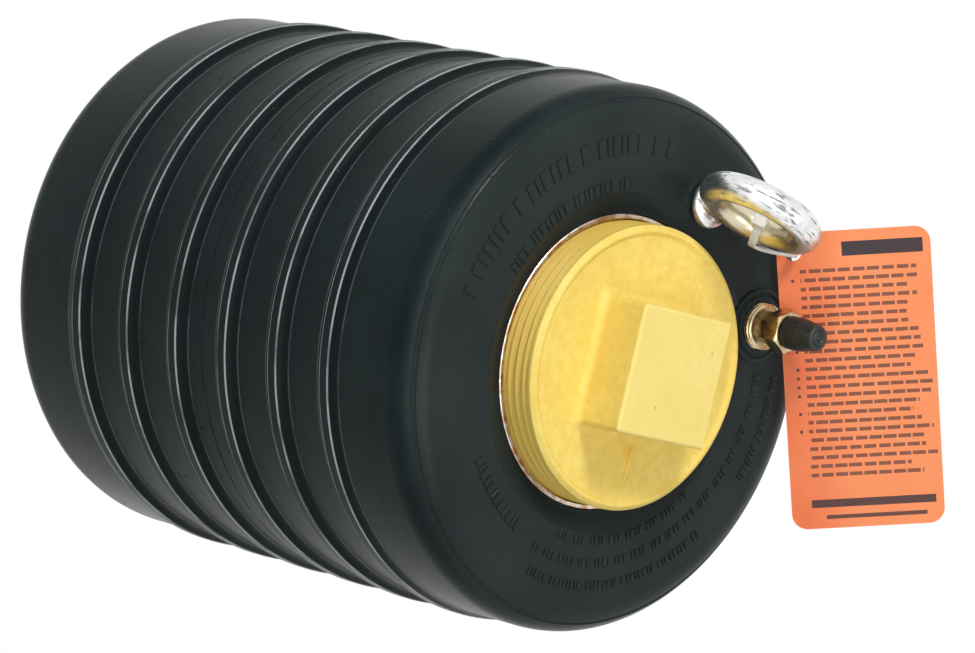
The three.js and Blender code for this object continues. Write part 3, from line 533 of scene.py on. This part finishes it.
# %% Wires and paints
class Wire:
    """A shader socket that can be used in Python sums."""

    def __init__(self, paint, socket):
        self.paint = paint
        self.socket = socket

    def maths(self, operation, *values):
        return self.paint.node("ShaderNodeMath", {"operation": operation}, dict(enumerate(values)))

    def __add__(self, other):
        return self.maths("ADD", self, other)

    def __sub__(self, other):
        return self.maths("SUBTRACT", self, other)

    def __rsub__(self, other):
        return self.maths("SUBTRACT", other, self)

    def __mul__(self, other):
        return self.maths("MULTIPLY", self, other)

    def __truediv__(self, other):
        return self.maths("DIVIDE", self, other)

    def __gt__(self, other):
        return self.maths("GREATER_THAN", self, other)

    def __lt__(self, other):
        return self.maths("LESS_THAN", self, other)

    __radd__ = __add__
    __rmul__ = __mul__

    def floor(self):
        return self.maths("FLOOR", self)

    def part(self):
        """What is left after the whole number."""
        return self.maths("FRACT", self)

    def size(self):
        return self.maths("ABSOLUTE", self)

    def soft(self, low, high):
        """Rises smoothly from 0 to 1 between two values."""
        inputs = {"Value": self, "From Min": low, "From Max": high}
        return self.paint.node("ShaderNodeMapRange", {"interpolation_type": "SMOOTHSTEP"}, inputs)

    def between(self, low, high):
        return (self > low) * (self < high)


class Paint:
    """A material under construction, with its Principled shader."""

    def __init__(self, name, **fixed):
        self.material = bpy.data.materials.new(name)
        self.material.use_nodes = True
        self.tree = self.material.node_tree
        self.shader = self.tree.nodes["Principled BSDF"]
        self.place = self.node("ShaderNodeTexCoord", out="Object")
        for name, value in fixed.items():
            self.shader.inputs[name.replace("_", " ")].default_value = value

    def node(self, kind, settings=None, inputs=None, out=0):
        made = self.tree.nodes.new(kind)
        for key, value in (settings or {}).items():
            if key == "stops":
                while len(made.color_ramp.elements) < len(value):
                    made.color_ramp.elements.new(0.5)
                for element, (position, colour) in zip(made.color_ramp.elements, value):
                    element.position = position
                    element.color = (*colour, 1)
            else:
                setattr(made, key, value)
        for key, value in (inputs or {}).items():
            self.feed(made.inputs[key], value)
        return Wire(self, made.outputs[out])

    def feed(self, socket, value):
        if isinstance(value, Wire):
            self.tree.links.new(value.socket, socket)
        else:
            socket.default_value = value

    def noise(self, per_metre, detail=3, rough=0.5, at=None, out="Fac"):
        inputs = {"Vector": at or self.place, "Scale": per_metre, "Detail": detail, "Roughness": rough}
        return self.node("ShaderNodeTexNoise", {}, inputs, out)

    def ramp(self, value, *stops):
        return self.node("ShaderNodeValToRGB", {"stops": stops}, {"Fac": value}, "Color")

    def blend(self, factor, first, second, kind="MIX"):
        settings = {"data_type": "RGBA", "blend_type": kind}
        first, second = [(*c, 1) if isinstance(c, tuple) else c for c in (first, second)]
        return self.node("ShaderNodeMix", settings, {0: factor, 6: first, 7: second}, 2)

    def split(self, vector=None):
        made = self.node("ShaderNodeSeparateXYZ", {}, {0: vector or self.place})
        outputs = made.socket.node.outputs
        return [Wire(self, outputs[axis]) for axis in "XYZ"]

    def vector(self, x, y, z):
        return self.node("ShaderNodeCombineXYZ", {}, {0: x, 1: y, 2: z})

    def moved(self, **settings):
        """The place read in a turned and shifted frame: a Mapping node that undoes a piece's place."""
        inputs = {"Vector": self.place, "Location": settings["centre"], "Rotation": settings["turn"]}
        return self.node("ShaderNodeMapping", {"vector_type": "TEXTURE"}, inputs)

    def relief(self, height, depth, strength=1.0):
        """Feeds a Bump node whose height is in millimetres of depth."""
        inputs = {"Strength": strength, "Distance": depth * MM, "Height": height}
        bump = self.node("ShaderNodeBump", {}, inputs, "Normal")
        self.feed(self.shader.inputs["Normal"], bump)

    def set(self, **sockets):
        for name, value in sockets.items():
            if isinstance(value, tuple) and len(value) == 3:
                value = (*value, 1)
            self.feed(self.shader.inputs[name.replace("_", " ")], value)
        return self.material


def finish(piece, paint):
    """Gives a piece one material."""
    piece.data.materials.clear()
    piece.data.materials.append(paint)


# %% [markdown]
# ## Rubber
# Moulded rubber is nearly black with a cool cast. Fine grain, small pits and pale dust specks
# break up its gloss, and a faint ragged line runs round the middle, where the mould's halves met.
# Pale lines along the edges and the feet of the ribs are painted highlights, painted shade darkens
# their hollow flanks, and the rubber turns paler towards the front face, in clouds. The painted
# lines and shade are found from the distance to the nearest rib.

# %% Rubber finish
rubber = Paint("moulded_rubber", Specular_IOR_Level=0.09)
x, y, z = rubber.split()
cloud = rubber.noise(28, 4, 0.6)
grain = rubber.noise(900, 3, 0.6)
pits = rubber.noise(420, 2, 0.5)
specks = rubber.noise(1500, 1, 0.5)
speck_mask = specks.soft(0.74, 0.8) * cloud.soft(0.42, 0.62)
deep = rubber.blend(cloud.soft(0.35, 0.7), (0.0028, 0.0085, 0.0090), (0.0060, 0.0145, 0.0150))
rib_place = (z - up(SEAM)) / (RIB_PITCH * MM) + 3
from_rib = (rib_place.part() - 0.5).size() * RIB_PITCH  # millimetres from the middle of a rib
on_side = rib_place.between(0, 6)
# Noise that breaks up the painted highlights along the rib edges.
edge_highlight_breakup = rubber.noise(45, 3, 0.6).soft(0.36, 0.56)
# Painted highlights: pale lines along the edges of each rib's flat top, and fainter ones at its feet.
crest_edge_highlight = (1 - (from_rib - 1.85).size().soft(0.12, 0.42)) * on_side
foot_edge_highlight = (1 - (from_rib - 5.4).size().soft(0.1, 0.4)) * on_side
# Painted shade: the hollow flanks of the ribs are darkened.
hollow = from_rib.soft(2.1, 2.6) * (1 - from_rib.soft(4.6, 5.6)) * on_side
# The rubber turns paler towards the front face, in clouds.
front_face_paling = z.soft(up(FACE - 7), up(FACE - 1)) * (0.3 + cloud * 0.9)
# Blends in the painted shade, the paler front face and the painted highlights, in that order.
deep = rubber.blend(hollow * 0.75, deep, (0.0022, 0.0050, 0.0054))
deep = rubber.blend(front_face_paling * 0.8, deep, (0.030, 0.038, 0.038))
deep = rubber.blend(foot_edge_highlight * (0.12 + edge_highlight_breakup * 0.3), deep, (0.13, 0.15, 0.155))
deep = rubber.blend(crest_edge_highlight * (0.35 + edge_highlight_breakup * 0.65), deep, (0.34, 0.37, 0.38))
rubber_colour = rubber.blend(speck_mask * 0.4, deep, (0.10, 0.12, 0.125))
seam_wander = rubber.noise(60, 3, 0.6) * 0.0012 - 0.0006
seam_line = 1 - (z - up(SEAM) + seam_wander).size().soft(0.00008, 0.00045)
seam_line = seam_line * rubber.noise(150, 2, 0.5).soft(0.35, 0.6)
rubber_gloss = 0.2 + cloud * 0.12 + grain * 0.08 - seam_line * 0.05
rubber.relief(grain * 0.12 - pits.soft(0.66, 0.78) * 0.6 + seam_line * 1.4 + cloud * 0.5, 0.32, 0.8)
rubber_finish = rubber.set(Base_Color=rubber_colour, Roughness=rubber_gloss)

# %% [markdown]
# ## Yellow plastic
# The plug is a warm yellow moulding. Its colour is cloudy, a painted highlight makes the top of the
# head paler and painted shade makes the thread deeper, and its skin has a fine orange-peel grain.
# Two tiny marks of the mould's pins show on the head.

# %% Yellow finish
yellow = Paint("yellow_plastic", Specular_IOR_Level=0.4)
x, y, z = yellow.split()
mottle = yellow.noise(320, 5, 0.65)
drift = yellow.noise(45, 3, 0.5)
# Painted shade: the thread, below the plug's face, is darkened.
low = z.soft(up(PLUG_FACE - 1.5), up(PLUG_FACE - 3.5))
# Painted highlight: the top of the head is paler. This mask also places the mould marks.
top = z.soft(up(HEAD_TOP - 1.2), up(HEAD_TOP - 0.2))
skin = yellow.blend(mottle.soft(0.3, 0.7), (0.83, 0.62, 0.13), (0.91, 0.71, 0.18))
skin = yellow.blend(drift.soft(0.35, 0.65) * 0.35, skin, (0.80, 0.54, 0.08))
skin = yellow.blend(low * 0.6, skin, (0.58, 0.38, 0.05))
skin = yellow.blend(top * 0.45, skin, (0.93, 0.78, 0.30))


def mould_mark(at_x, at_y):
    """A tiny round mark on the head's top."""
    away = (x - at_x * MM) * (x - at_x * MM) + (y - at_y * MM) * (y - at_y * MM)
    return (away < (0.45 * MM) ** 2) * top


marks = mould_mark(12.7, 9.5) + mould_mark(-6.3, -10.3)
skin = yellow.blend(marks * 0.6, skin, (0.42, 0.27, 0.05))
yellow.relief(mottle * 0.6 + yellow.noise(1400, 2, 0.5) * 0.25, 0.16, 0.7)
yellow_finish = yellow.set(Base_Color=skin, Roughness=0.42 + mottle * 0.16)

# %% [markdown]
# ## Metals
# The eye bolt is forged and zinc plated. Long marks of the forging die run round its ring, and the
# plating has a golden cast inside the eye. The marks are noise that is read in ring coordinates:
# the angle round the ring, the distance from its axis and the distance from its plane.

# %% Zinc finish
zinc = Paint("plated_zinc", Metallic=1.0)
eye_frame = zinc.moved(centre=(EYE.x, EYE.y, up(EYE_HEIGHT)), turn=(0, 0, EYE_TURN))
ex, ey, ez = zinc.split(eye_frame)
reach = ex.maths("SQRT", ex * ex + ez * ez)
around = ex.maths("ARCTAN2", ez, ex)
die_space = zinc.vector(around * 0.0028, reach, ey)
die_marks = zinc.noise(900, 3, 0.6, at=die_space)
fine_marks = zinc.noise(2600, 2, 0.6, at=die_space)
outside = reach.soft(0.0165, 0.0190)
marks = die_marks.soft(0.52, 0.60) * outside * zinc.noise(120, 2, 0.5).soft(0.38, 0.55)
bloom = zinc.noise(260, 3, 0.6)
inner = reach.soft(0.0158, 0.0118)
silver = zinc.blend(bloom.soft(0.3, 0.7), (0.74, 0.75, 0.76), (0.92, 0.92, 0.91))
gold = zinc.blend(inner * (0.35 + bloom * 0.6), silver, (0.62, 0.52, 0.28))
gold = zinc.blend(marks * 0.75, gold, (0.05, 0.06, 0.06))
zinc.relief(die_marks * outside * 0.8 + bloom * 0.3 + fine_marks * 0.15, 0.3, 0.55)
zinc_finish = zinc.set(Base_Color=gold, Roughness=0.2 + bloom * 0.2 + marks * 0.3)

# %% Brass, tube and spring finishes
brass = Paint("turned_brass", Metallic=1.0)
tarnish = brass.noise(420, 4, 0.6)
bx, by, bz = brass.split()
lathe = brass.noise(1.0, 2, 0.5, at=brass.vector(bx * 120, by * 120, bz * 9000))
# Painted shade: the neck between the bush and the hexagon is darkened.
neck_painted_shade = bz.soft(up(FACE + 3.9), up(FACE + 4.6)) * bz.soft(up(HEX_BACK + 0.2), up(HEX_BACK - 0.3))
brass_colour = brass.blend(tarnish.soft(0.35, 0.68), (0.50, 0.38, 0.20), (0.74, 0.60, 0.38))
brass_colour = brass.blend(neck_painted_shade * 0.75, brass_colour, (0.10, 0.075, 0.05))
brass.relief(lathe * 0.4 + tarnish * 0.4, 0.08, 0.6)
brass_finish = brass.set(Base_Color=brass_colour, Roughness=0.17 + tarnish * 0.2)

tube_paint = Paint("tube_edge", Metallic=1.0)
stain = tube_paint.noise(300, 3, 0.6)
tube_colour = tube_paint.blend(stain.soft(0.35, 0.65), (0.62, 0.36, 0.20), (0.86, 0.80, 0.72))
tube_paint.relief(stain, 0.1, 0.5)
tube_finish = tube_paint.set(Base_Color=tube_colour, Roughness=0.25 + stain * 0.25)

steel = Paint("plain_steel", Metallic=1.0)
scale = steel.noise(500, 3, 0.6)
steel.relief(scale, 0.06, 0.5)
steel_colour = steel.blend(scale.soft(0.3, 0.7), (0.45, 0.46, 0.48), (0.62, 0.62, 0.63))
steel_finish = steel.set(Base_Color=steel_colour, Roughness=0.3 + scale * 0.2)

# %% [markdown]
# ## Cap, tag and tie
# The cap is scuffed black plastic. The tag is orange sheet, redder at its left edge, and its print
# is plain: one broad bar, rows of short dashes with a dot before each block, and two closing lines.
# The rows are worked out in the tag's own frame, in millimetres across and down.

# %% Cap finish
black = Paint("black_plastic", Specular_IOR_Level=0.45)
scuff = black.noise(900, 4, 0.65)
black.relief(scuff, 0.08, 0.6)
black_colour = black.blend(scuff.soft(0.5, 0.75), (0.010, 0.012, 0.012), (0.035, 0.04, 0.04))
black_finish = black.set(Base_Color=black_colour, Roughness=0.38 + scuff * 0.2)

# %% Tag finish
ROW_PITCH = 2.87
FIRST_ROW = 11.2
ROWS = 24
print_paint = Paint("printed_sheet", Specular_IOR_Level=0.35)
tag_turn = tag_place.to_euler()
flat = print_paint.moved(centre=tuple(TAG_CORNER), turn=tuple(tag_turn))
across, down, through = [axis * 1000 for axis in print_paint.split(flat)]
row_place = (down - FIRST_ROW) / ROW_PITCH
row = row_place.floor()
in_row = row_place.part()
in_block = row_place.between(0, ROWS)


def chance(first, second):
    """A steady random number for each pair of whole numbers."""
    pair = print_paint.vector(first, second, 0.0)
    return print_paint.node("ShaderNodeTexWhiteNoise", {"noise_dimensions": "2D"}, {"Vector": pair})


row_end = 47.5 - chance(row, 3.0) * 9
shifted = (across + chance(row, 23.0) * 4.6) / 4.6
words = chance(shifted.floor(), row + 40)
word_gap = shifted.part() > 0.1 + words * 0.12
dashes = in_row.between(0.26, 0.68) * across.between(7.0, 100.0) * (across < row_end)
dashes = dashes * word_gap * in_block
is_start = chance(row, 11.0) > 0.62
dot_x = across - 4.6
dot_y = (in_row - 0.47) * ROW_PITCH
dot = (dot_x * dot_x + dot_y * dot_y < 0.30) * is_start * in_block
heading = across.between(20.5, 46.0) * down.between(3.6, 8.2)
closing = across.between(6.5, 46.0) * down.between(86.6, 89.2)
last = across.between(11, 43) * down.between(91.7, 93.0)
ink = (dashes * 0.78 + dot * 0.9 + heading + closing * 0.95 + last * 0.9)
ink = ink.maths("MINIMUM", ink, 1.0)
fade = across.soft(2, 26)
wash = print_paint.noise(60, 3, 0.5)
orange = print_paint.blend(fade, (0.80, 0.17, 0.055), (0.90, 0.27, 0.10))
orange = print_paint.blend(wash.soft(0.35, 0.7) * 0.3, orange, (0.95, 0.33, 0.14))
orange = print_paint.blend(ink, orange, (0.035, 0.02, 0.025))
print_paint.relief(print_paint.noise(700, 2, 0.5), 0.04, 0.5)
tag_finish = print_paint.set(Base_Color=orange, Roughness=0.42 + wash * 0.12)

# %% Tie finish
nylon = Paint("milky_nylon", Subsurface_Weight=0.6, Subsurface_Scale=0.002, Transmission_Weight=0.15)
haze = nylon.noise(500, 3, 0.5)
nylon.relief(haze, 0.06, 0.5)
nylon_colour = nylon.blend(haze.soft(0.3, 0.7), (0.74, 0.73, 0.66), (0.86, 0.86, 0.82))
nylon_finish = nylon.set(Base_Color=nylon_colour, Roughness=0.32 + haze * 0.12)

# %% [markdown]
# ## Dressing the part
# Each new piece rides on a CAD body, names the record's material slot it belongs to, and replaces
# the CAD node that it stands for. The small pieces inside the valve and the eye bolt's insert keep
# their CAD shape and get a metal finish.

# %% Riding, slots and finishes
dressing = [
    (rubber_shell, "plug_body", "rubber", rubber_finish, "rubber_body"),
    (face_marks, "plug_body", "rubber", rubber_finish, None),
    (tube_wall, "plug_body", "tube_metal", tube_finish, "bypass_tube"),
    (screw_plug, "bypass_closure", "yellow_plastic", yellow_finish, "bypass_plug"),
    (eye, "plug_body", "zinc", zinc_finish, "eye_bolt"),
    (grommet, "plug_body", "rubber", rubber_finish, "valve_grommet"),
    (bush, "plug_body", "brass", brass_finish, "valve_bush"),
    (valve, "plug_body", "brass", brass_finish, "valve_body"),
    (cap, "cap", "black_plastic", black_finish, "valve_cap"),
    (sheet, "plug_body", "tag_sheet", tag_finish, "tag"),
    (strap, "plug_body", "nylon", nylon_finish, "tag_tie"),
]
for piece, body, slot, paint, node in dressing:
    finish(piece, paint)
    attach(piece, body)
    if node:
        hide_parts(node)
for node, paint in {
    "eye_insert": steel_finish,
    "valve_spring": steel_finish,
    "valve_core": brass_finish,
    "valve_pin": brass_finish,
}.items():
    finish(nodes[node], paint)
print("dressed pieces:", [piece.name for piece, *_ in dressing])

# %% [markdown]
# ## The studio
# The object was photographed on plain white. The floor is pale, the world is an even soft light,
# and both look pure white to the camera and in reflections. Large soft lamps give the rubber its
# broad grey highlights.

# %% Floor and world
bare()
bpy.ops.mesh.primitive_plane_add(size=30, location=(0, 0, up(-0.2)))
floor = bpy.context.object
floor.name = "studio_floor"
floor_paint = Paint("pale_floor", Roughness=0.9, Specular_IOR_Level=0.1)
floor_paint.shader.inputs["Base Color"].default_value = (0.8, 0.8, 0.8, 1)
paths = floor_paint.node("ShaderNodeLightPath").socket.node.outputs
rays = Wire(floor_paint, paths["Is Camera Ray"]) + Wire(floor_paint, paths["Is Glossy Ray"])
rays = rays + Wire(floor_paint, paths["Is Transmission Ray"])
white = floor_paint.node("ShaderNodeEmission", {}, {"Color": (1, 1, 1, 1), "Strength": 1.0})
lit = Wire(floor_paint, floor_paint.shader.outputs[0])
mixed = floor_paint.node("ShaderNodeMixShader", {}, {0: rays, 1: lit, 2: white})
floor_paint.tree.links.new(mixed.socket, floor_paint.tree.nodes["Material Output"].inputs["Surface"])
finish(floor, floor_paint.material)

world = bpy.context.scene.world or bpy.data.worlds.new("Studio")
bpy.context.scene.world = world
world.use_nodes = True
sky = world.node_tree
background = sky.nodes["Background"]
light_path = sky.nodes.new("ShaderNodeLightPath")
glossy = sky.nodes.new("ShaderNodeMath")
sky.links.new(light_path.outputs["Is Camera Ray"], glossy.inputs[0])
sky.links.new(light_path.outputs["Is Glossy Ray"], glossy.inputs[1])
seen = sky.nodes.new("ShaderNodeMath")
sky.links.new(glossy.outputs[0], seen.inputs[0])
sky.links.new(light_path.outputs["Is Transmission Ray"], seen.inputs[1])
level = sky.nodes.new("ShaderNodeMapRange")
level.inputs["To Min"].default_value = 0.36
level.inputs["To Max"].default_value = 1.0
sky.links.new(seen.outputs[0], level.inputs["Value"])
sky.links.new(level.outputs[0], background.inputs["Strength"])
background.inputs["Color"].default_value = (1, 1, 1, 1)


# %% Lamps
def soft_lamp(name, place, aim, size, power):
    """A soft lamp of (width, height) at a place in metres, aimed at another."""
    bare()
    bpy.ops.object.light_add(type="AREA", location=place)
    lamp = bpy.context.object
    lamp.name = name
    lamp.data.shape = "RECTANGLE"
    lamp.data.size, lamp.data.size_y = size
    lamp.data.energy = power
    lamp.rotation_mode = "QUATERNION"
    lamp.rotation_quaternion = (Vector(place) - Vector(aim)).to_track_quat("Z", "Y")
    return lamp


middle = (0, 0, up(120))
soft_lamp("key", (-0.5, 0.85, 0.75), middle, (0.25, 0.25), 8)
soft_lamp("strip", (-0.95, -0.1, 0.75), middle, (1.7, 0.06), 4.5)
soft_lamp("front", (-0.1, -0.3, 1.2), middle, (0.6, 0.6), 3.6)

# %% [markdown]
# ## The camera
# The camera looks down on the front face from the left. Its place comes from the angle between the
# view and the plug's axis, the slope of that axis in the picture, and the distance at which the
# lens shows the plug at the right size.

# %% Camera
PHOTO_WIDTH, PHOTO_HEIGHT = 975, 653
LENS_PIXELS = 5000.0
TILT = 0.7643  # radians between the view and the axis
SLOPE = 0.2273  # radians that the axis falls to the right
DISTANCE = 1611.4
SEAM_AT = (-0.0162, -0.00235)  # the seam's middle, as right and down over distance

right_of = Vector((math.cos(SLOPE) * math.cos(TILT), math.sin(SLOPE), math.cos(SLOPE) * math.sin(TILT)))
down_of = Vector((math.sin(SLOPE) * math.cos(TILT), -math.cos(SLOPE), math.sin(SLOPE) * math.sin(TILT)))
away_of = Vector((math.sin(TILT), 0, -math.cos(TILT)))
seam_middle = Vector((0, 0, up(SEAM)))
eye_point = seam_middle - (right_of * SEAM_AT[0] + down_of * SEAM_AT[1] + away_of) * DISTANCE * MM

bare()
bpy.ops.object.camera_add(location=eye_point)
camera = bpy.context.object
camera.name = "photo_camera"
camera.data.sensor_width = 36
camera.data.lens = LENS_PIXELS / PHOTO_WIDTH * 36
camera.data.clip_end = 60
camera.rotation_mode = "QUATERNION"
camera.rotation_quaternion = Matrix((right_of, -down_of, -away_of)).transposed().to_quaternion()
bpy.context.scene.camera = camera

# %% [markdown]
# ## Last settings
# The picture keeps plain colours, and the box of the CAD part is printed.

# %% Finish
bpy.context.scene.view_settings.view_transform = "Standard"
print("CAD box", [tuple(round(v, 4) for v in corner) for corner in cad_box])
